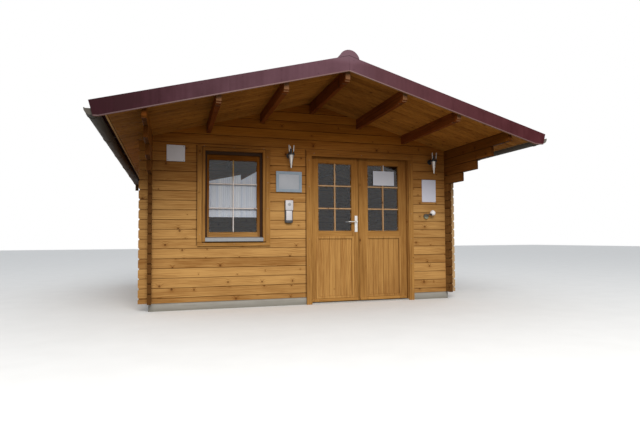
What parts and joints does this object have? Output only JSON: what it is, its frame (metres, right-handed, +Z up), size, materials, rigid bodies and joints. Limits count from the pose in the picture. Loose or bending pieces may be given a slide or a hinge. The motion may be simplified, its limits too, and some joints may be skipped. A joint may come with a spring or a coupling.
{
  "type": "timber log hut with porch roof",
  "caption": "Small log hut with cross-lapped corners, a gabled roof reaching out over a porch on stepped-out wall logs, a double glazed door and one front window.",
  "frame": {"origin": "on the ground in the middle of the walls' square footprint", "axes": "+X to the right along the front, +Y from the porch into the hut, +Z up"},
  "size_m": [4.958, 5.848, 2.7745],
  "materials": {
    "log_pine": "honey-brown translucent glaze over pine, satin",
    "base_grey": "weathered grey impregnated beams",
    "floor_boards": "plain worn boards",
    "purlin_pine": "darker reddish glaze over pine",
    "roof_pine": "honey-brown glaze over pine boards",
    "red_steel": "wine-red coated sheet steel",
    "grey_steel": "dull grey sheet metal",
    "joinery_pine": "smooth honey-brown glazed joinery",
    "threshold_metal": "scuffed plain metal",
    "clear_glass": "clear pane",
    "satin_metal": "satin",
    "curtain_cloth": "thin pale net cloth",
    "lamp_metal": "black bracket with a silver cone",
    "white_plate": "bare white plate",
    "board_blue": "pale blue-grey board in a thin frame, bare",
    "white_sheet": "bare white sheet",
    "white_housing": "white moulded housing"
  },
  "bodies": {
    "root": {"foundation_beams": "base_grey", "floor": "floor_boards", "front_wall_left": "log_pine", "front_wall_under_window": "log_pine", "front_wall_middle": "log_pine", "front_wall_right": "log_pine", "front_gable": "log_pine", "back_wall": "log_pine", "back_gable": "log_pine", "left_wall": "log_pine", "right_wall": "log_pine", "wall_plates": "log_pine", "ridge_purlin": "purlin_pine", "side_purlins": "purlin_pine", "roof_boards_left": "roof_pine", "roof_boards_right": "roof_pine", "roof_battens": "roof_pine", "roof_sheet_left": "red_steel", "roof_sheet_right": "red_steel", "ridge_cap": "red_steel", "bargeboards": "roof_pine", "verge_flashing": "red_steel", "eave_boards": "roof_pine", "gutter_left": "grey_steel", "gutter_right": "grey_steel", "door_frame": "joinery_pine", "door_casing": "joinery_pine", "threshold": "threshold_metal", "frame_hinges": "satin_metal", "window_lining": "joinery_pine", "window_casing": "joinery_pine", "window_stop": "joinery_pine", "window_sash": "joinery_pine", "window_glass": "clear_glass", "window_sill": "grey_steel", "window_curtain": "curtain_cloth", "wall_lamps": "lamp_metal", "notice_plate": "white_plate", "framed_board": "board_blue", "notice_sheet": "white_sheet", "intercom": "white_housing", "sensor": "white_housing"},
    "door_left": {"door_leaf_left": "joinery_pine", "door_panel_left": "joinery_pine", "door_glass_left": "clear_glass", "door_handle_plates": "satin_metal", "leaf_hinges_left": "satin_metal"},
    "lever": {"door_lever": "satin_metal"},
    "door_right": {"door_leaf_right": "joinery_pine", "door_panel_right": "joinery_pine", "door_glass_right": "clear_glass", "leaf_hinges_right": "satin_metal"}
  },
  "joints": [
    {"name": "left_leaf_swing", "type": "hinge", "parent": "root", "child": "door_left", "pos_m": [-0.0025, -1.8918, 0.022], "axis": [0, 0, 1], "range_deg": [0, 105]},
    {"name": "right_leaf_swing", "type": "hinge", "parent": "root", "child": "door_right", "pos_m": [1.3805, -1.8918, 0.022], "axis": [0, 0, -1], "range_deg": [0, 105]},
    {"name": "lever_turn", "type": "hinge", "parent": "door_left", "child": "lever", "pos_m": [0.63, -1.9275, 1.068], "axis": [0, -1, 0], "range_deg": [0, 40], "stiffness_Nm_per_rad": 1.2, "springref_deg": -34.38}
  ]
}
